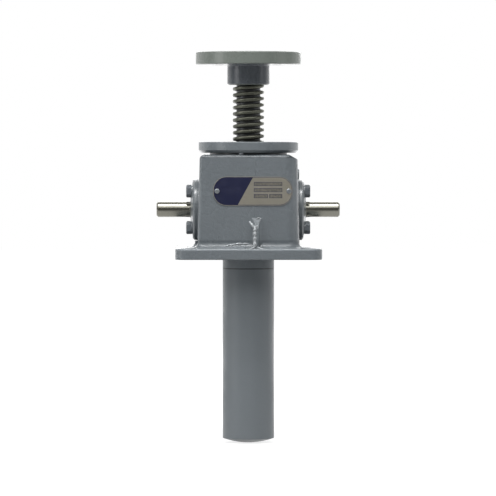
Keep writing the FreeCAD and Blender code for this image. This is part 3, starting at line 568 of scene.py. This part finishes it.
finishes = {
    casingEnamel: ["housing"],
    smoothEnamel: ["shell_cap", "grease_plug"],
    coverEnamel: ["left_bearing_cover", "right_bearing_cover", "left_cover_washers", "right_cover_washers"],
    plateEnamel: ["top_plate"],
    tubeEnamel: ["tube_adapter", "protective_tube", "tube_end_cap"],
    boltEnamel: ["left_cover_bolts", "right_cover_bolts"],
    shaftSteel: ["worm_shaft"],
    bearingSteel: ["lower_gear_bearing_cone", "lower_gear_bearing_cup", "upper_gear_bearing_cone",
                   "upper_gear_bearing_cup", "left_worm_bearing_cone", "left_worm_bearing_cup",
                   "right_worm_bearing_cone", "right_worm_bearing_cup"],
    paintedShim: ["left_cover_shim", "right_cover_shim"],
    bronze: ["worm_gear", "upper_guide_bushing", "lower_guide_bushing"],
    zinc: ["nameplate_rivets", "cap_set_screws"],
    blackSteel: ["plate_set_screw", "stop_disc", "stop_pin"],
    greasedSteel: ["lifting_screw"],
    sealRubber: ["screw_wiper", "left_shaft_seal", "right_shaft_seal"],
    nameplateMetal: ["nameplate"],
}
for material, names in finishes.items():
    for name in names:
        nodes[name].data.materials.clear()
        nodes[name].data.materials.append(material)
print("CAD nodes finished")


# Lifting screw

threadForm = {"pitch": 0.00635, "rootRadius": 0.0121, "rootWidth": 0.0018, "crestWidth": 0.0021,
              "crestRound": 0.00035, "crestHeight": 0.1753, "spareTurns": 2, "steps": 72,
              "tailRadius": 0.012, "tailHeight": 0.009, "shoulder": 0.1762, "spigotRadius": 0.0127,
              "spigotTop": 0.2067, "chamfer": 0.0015, "roundSteps": 64, "smoothTo": 40}


def threadProfile(low, turns, crestRadius, form):
    # (radius, height) pairs up the side of the screw, from root to crest and back once a turn
    soft = form["crestRound"]
    crestLow = form["rootWidth"] + (form["pitch"] - form["rootWidth"] - form["crestWidth"]) / 2
    crestHigh = crestLow + form["crestWidth"]
    steps = [(0.0, form["rootRadius"]), (form["rootWidth"], form["rootRadius"]),
             (crestLow - soft, crestRadius - soft), (crestLow + soft, crestRadius),
             (crestHigh - soft, crestRadius), (crestHigh + soft, crestRadius - soft)]
    points = [(r, low + k * form["pitch"] + z) for k in range(turns) for z, r in steps]
    return points + [(form["rootRadius"], low + turns * form["pitch"])]


def buildLiftingScrew():
    form = threadForm
    low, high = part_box("lifting_screw")
    crestRadius = (high.x - low.x) / 2
    threadLow = low.z + form["tailHeight"]
    # the middle of a crest is at crestHeight, and the thread starts some turns too low, to be cut to length
    start = form["crestHeight"] - (form["pitch"] + form["rootWidth"]) / 2
    start -= math.ceil((start - threadLow) / form["pitch"] + form["spareTurns"]) * form["pitch"]
    turns = math.ceil((form["shoulder"] - start) / form["pitch"]) + 1
    bm = bmesh.new()
    verts, edges = addLine(bm, [(r, 0, z) for r, z in threadProfile(start, turns, crestRadius, form)])
    bmesh.ops.spin(bm, geom=verts + edges, cent=(0, 0, 0), axis=up, dvec=up * (form["pitch"] / form["steps"]),
                   angle=math.tau, steps=form["steps"], use_merge=False, use_normal_flip=False,
                   use_duplicate=False)
    bmesh.ops.remove_doubles(bm, verts=bm.verts, dist=weldWithin)
    cutAcross(bm, threadLow, True)
    cutAcross(bm, form["shoulder"], False)
    spigot, chamfer, top = form["spigotRadius"], form["chamfer"], form["spigotTop"]
    spinProfile(bm, [(0, form["shoulder"]), (spigot, form["shoulder"]), (spigot, top - chamfer),
                     (spigot - chamfer, top), (0, top)], form["roundSteps"])
    tail = form["tailRadius"]
    spinProfile(bm, [(0, low.z), (tail, low.z), (tail, threadLow), (0, threadLow)], form["roundSteps"])
    finishPiece(bm, "threadedScrew", "lifting_screw", greasedSteel, form["smoothTo"],
                ["lifting_screw"])


buildLiftingScrew()
print("lifting screw made")


# Marks of the casting round the front rib

frontRib = {"x": 0.0062, "foot": (-0.0568, 0.0114), "knee": (-0.0548, 0.0314), "top": (-0.0500, 0.0421)}


def ribFront(z):
    # Y of the rib's front face at a height; its corners are (y, z)
    foot, knee, top = frontRib["foot"], frontRib["knee"], frontRib["top"]
    low, high = (foot, knee) if z < knee[1] else (knee, top)
    return low[0] + (high[0] - low[0]) * (z - low[1]) / (high[1] - low[1])


# beads are (z, radius), and the arms and the seam are stations of a tube
castMarks = {
    "sink": 0.35, "beadSides": 12, "armSides": 10, "smoothTo": 60,
    "beads": [(0.0126, 0.0012), (0.0136, 0.0018), (0.0156, 0.0024), (0.0174, 0.0018), (0.0186, 0.0012),
              (0.0198, 0.0017), (0.0211, 0.0021), (0.0226, 0.0017), (0.0236, 0.0012), (0.0246, 0.0017),
              (0.0259, 0.0021), (0.0274, 0.0017), (0.0283, 0.0012), (0.0292, 0.0017), (0.0302, 0.0020),
              (0.0312, 0.0015), (0.0319, 0.0011), (0.0330, 0.0014), (0.0341, 0.0006)],
    "arms": [[(0.0058, -0.0543, 0.0325, 0.0014), (0.0044, -0.0512, 0.0338, 0.0016),
              (0.0028, -0.0492, 0.0358, 0.0016), (0.0010, -0.0489, 0.0384, 0.0013),
              (0.0002, -0.0488, 0.0394, 0.0004)],
             [(0.0070, -0.0542, 0.0326, 0.0014), (0.0088, -0.0514, 0.0344, 0.0016),
              (0.0108, -0.0492, 0.0366, 0.0016), (0.0126, -0.0489, 0.0388, 0.0013),
              (0.0134, -0.0488, 0.0398, 0.0004)],
             [(0.0056, -0.0566, 0.0129, 0.0011), (0.0036, -0.0569, 0.0115, 0.0011),
              (0.0014, -0.0570, 0.0109, 0.0009), (0.0004, -0.0570, 0.0107, 0.0002)],
             [(0.0088, -0.0562, 0.0127, 0.0011), (0.0112, -0.0567, 0.0114, 0.0011),
              (0.0150, -0.0569, 0.0109, 0.0009), (0.0170, -0.0569, 0.0107, 0.0002)]],
    "seam": [(-0.0245, -0.0515, 0.0137, 0.0003), (-0.0215, -0.0512, 0.0142, 0.0008),
             (-0.0190, -0.0510, 0.0147, 0.0005), (-0.0165, -0.0506, 0.0151, 0.0011),
             (-0.0140, -0.0506, 0.0155, 0.0006), (-0.0115, -0.0503, 0.0158, 0.0013),
             (-0.0085, -0.0503, 0.0163, 0.0010), (-0.0065, -0.0502, 0.0160, 0.0005),
             (-0.0040, -0.0501, 0.0163, 0.0010), (-0.0015, -0.0501, 0.0160, 0.0009),
             (0.0003, -0.0501, 0.0158, 0.0003)],
    "ring": {"at": (0.0101, -0.0506, 0.0404), "radius": 0.0019, "wall": 0.00045, "sides": 8, "steps": 20},
}


def addRing(bm, at, radius, wall, sides, steps):
    # a small torus that faces forward
    centre = Vector(at)
    section = bmesh.ops.create_circle(bm, segments=sides, radius=wall,
                                      matrix=Matrix.Translation(centre + right * radius))
    bmesh.ops.spin(bm, geom=section["verts"] + edgesOf(section["verts"]), cent=centre, axis=(0, 1, 0),
                   angle=math.tau, steps=steps, use_merge=True, use_normal_flip=False, use_duplicate=False)


def buildCastMarks():
    form = castMarks
    bm = bmesh.new()
    beads = [(frontRib["x"], ribFront(z) + form["sink"] * r, z, r) for z, r in form["beads"]]
    loftTube(bm, beads, form["beadSides"])
    for arm in form["arms"] + [form["seam"]]:
        loftTube(bm, arm, form["armSides"])
    addRing(bm, **form["ring"])
    # the lumps take the casting marks' paint with its painted highlight
    finishPiece(bm, "castMarks", "housing", castMarksHighlightEnamel, form["smoothTo"])


partingForm = {"y": -0.04955, "radius": 0.0007, "sides": 10, "spans": [(0.0440, 0.0535), (0.0845, 0.1010)],
               "smoothTo": 60}


def buildPartingLine():
    form = partingForm
    bm = bmesh.new()
    for low, high in form["spans"]:
        heights = (low, (low + high) / 2, high)
        loftTube(bm, [(frontRib["x"], form["y"], z, form["radius"]) for z in heights], form["sides"])
    finishPiece(bm, "partingLine", "housing", castEnamel, form["smoothTo"])


buildCastMarks()
buildPartingLine()
print("casting marks made")


# Camera, floor, backdrop and lights

# frame is the width that the picture spans at the camera's distance
view = {"distance": 4.57, "side": -0.0283, "eye": 0.12, "aim": (-0.0004, 0.0, 0.01066), "frame": 0.5039,
        "sensor": 36.0, "reach": 50.0}


def placeFacing(thing, at, to):
    thing.location = at
    thing.rotation_mode = "QUATERNION"
    thing.rotation_quaternion = (Vector(to) - Vector(at)).to_track_quat("-Z", "Y")
    scene.collection.objects.link(thing)


def makeCamera():
    camera = bpy.data.cameras.new("camera")
    camera.sensor_width = view["sensor"]
    camera.lens = view["sensor"] * view["distance"] / view["frame"]
    camera.clip_end = view["reach"]
    eye = bpy.data.objects.new("camera", camera)
    placeFacing(eye, (view["side"], -view["distance"], view["eye"]), view["aim"])
    scene.camera = eye


def shinyRay(tree, light):
    return mathNode(tree, "MAXIMUM", light.outputs["Is Glossy Ray"], light.outputs["Is Transmission Ray"])


# each "Over" is the stretch, in metres, over which a value changes
floorLook = {
    "halfWidth": 8.0, "drop": 0.0002, "nearGlow": 0.80, "nearOver": (0.25, 0.9),
    "frontMirrored": 0.27, "nearMirrored": 1.0, "frontOver": (-0.8, -0.3), "backOver": (0.3, 1.2),
    "bounce": (0.41, 0.41, 0.41, 1), "paper": (0.35, 0.35, 0.35, 1), "dark": (0.02, 0.02, 0.02, 1),
}


def makeFloorMaterial():
    # white paper for the camera with a faint contact shadow, darker for the light it throws back
    look = floorLook
    material, tree = blankMaterial("studioFloor")
    light = tree.nodes.new("ShaderNodeLightPath")
    place = tree.nodes.new("ShaderNodeTexCoord").outputs["Object"]
    along = splitAxes(tree, place)["Y"]
    seen = light.outputs["Is Camera Ray"]
    near = ramp(tree, vectorLength(tree, place), look["nearOver"], (look["nearGlow"], 1.0))
    front = ramp(tree, along, look["frontOver"], (look["frontMirrored"], look["nearMirrored"]))
    mirrored = mathNode(tree, "ADD", front, ramp(tree, along, look["backOver"]))
    strength = mathNode(tree, "ADD", mathNode(tree, "MULTIPLY", near, seen),
                        mathNode(tree, "MULTIPLY", mirrored, shinyRay(tree, light)))
    glow = feed(tree, tree.nodes.new("ShaderNodeEmission"), Color=white, Strength=strength)
    tone = mixColour(tree, light.outputs["Is Diffuse Ray"], look["dark"], look["bounce"])
    tone = mixColour(tree, seen, tone, look["paper"])
    paper = feed(tree, tree.nodes.new("ShaderNodeBsdfDiffuse"), Color=tone)
    both = tree.nodes.new("ShaderNodeAddShader")
    tree.links.new(paper.outputs[0], both.inputs[0])
    tree.links.new(glow.outputs[0], both.inputs[1])
    # from below the paper lets the camera through
    geometry = tree.nodes.new("ShaderNodeNewGeometry")
    through = tree.nodes.new("ShaderNodeBsdfTransparent")
    sheet = tree.nodes.new("ShaderNodeMixShader")
    feed(tree, sheet, Fac=mathNode(tree, "MULTIPLY", geometry.outputs["Backfacing"], seen))
    tree.links.new(both.outputs[0], sheet.inputs[1])
    tree.links.new(through.outputs[0], sheet.inputs[2])
    output = tree.nodes.new("ShaderNodeOutputMaterial")
    tree.links.new(sheet.outputs[0], output.inputs[0])
    return material


def makeFloor():
    bm = bmesh.new()
    bmesh.ops.create_grid(bm, x_segments=1, y_segments=1, size=floorLook["halfWidth"])
    bmesh.ops.translate(bm, verts=bm.verts, vec=(0, 0, cadBox[0].z - floorLook["drop"]))
    floor = linkMesh(bm, "studioFloor", makeFloorMaterial())


# each "Over" is a stretch along one axis of a ray's direction
worldLook = {"ambient": (0.09, 0.094, 0.10, 1), "mirrored": (0.13, 0.13, 0.125, 1),
             "raised": (0.55, 0.55, 0.54, 1), "behindOver": (0.0, 0.6), "lowOver": (0.75, 0.45),
             "raisedOver": (0.1, 0.6)}


def makeWorld():
    # white for the camera, and in mirrors white behind the object, dark in front and grey overhead
    look = worldLook
    world = bpy.data.worlds.new("studio")
    scene.world = world
    world.use_nodes = True
    tree = world.node_tree
    tree.nodes.clear()
    light = tree.nodes.new("ShaderNodeLightPath")
    axes = splitAxes(tree, tree.nodes.new("ShaderNodeTexCoord").outputs["Generated"])
    behind = ramp(tree, axes["Y"], look["behindOver"])
    low = ramp(tree, axes["Z"], look["lowOver"])
    front = mixColour(tree, ramp(tree, axes["Z"], look["raisedOver"]), look["mirrored"], look["raised"])
    mirrored = mixColour(tree, mathNode(tree, "MULTIPLY", behind, low), front, white)
    tone = mixColour(tree, shinyRay(tree, light), look["ambient"], mirrored)
    tone = mixColour(tree, light.outputs["Is Camera Ray"], tone, white)
    sky = feed(tree, tree.nodes.new("ShaderNodeBackground"), Color=tone, Strength=1.0)
    output = tree.nodes.new("ShaderNodeOutputWorld")
    tree.links.new(sky.outputs[0], output.inputs[0])


lamps = {
    "overheadBox": {"at": (-0.12, -0.92, 1.57), "to": (0, 0, 0.05), "size": (4.0, 1.7), "power": 52.0},
    "keySpot": {"at": (-0.05, -0.60, 1.70), "to": (0, 0, 0.05), "size": (0.7, 0.16), "power": 11.0},
    "leftFill": {"at": (-1.9, -0.8, 0.6), "to": (0, 0, 0.03), "size": (0.8, 1.4), "power": 10.0},
    "rightFill": {"at": (2.0, -0.4, 0.4), "to": (0, 0, 0.03), "size": (0.8, 1.4), "power": 3.0},
    "backFill": {"at": (0.2, 1.9, 0.9), "to": (0, 0, 0.05), "size": (1.6, 1.4), "power": 22.0},
}


def makeLamps():
    for name, lamp in lamps.items():
        light = bpy.data.lights.new(name, "AREA")
        light.shape = "RECTANGLE"
        light.size, light.size_y = lamp["size"]
        light.energy = lamp["power"]
        placeFacing(bpy.data.objects.new(name, light), lamp["at"], lamp["to"])


makeCamera()
makeFloor()
makeWorld()
makeLamps()
scene.view_settings.view_transform = "Standard"
print("studio made")
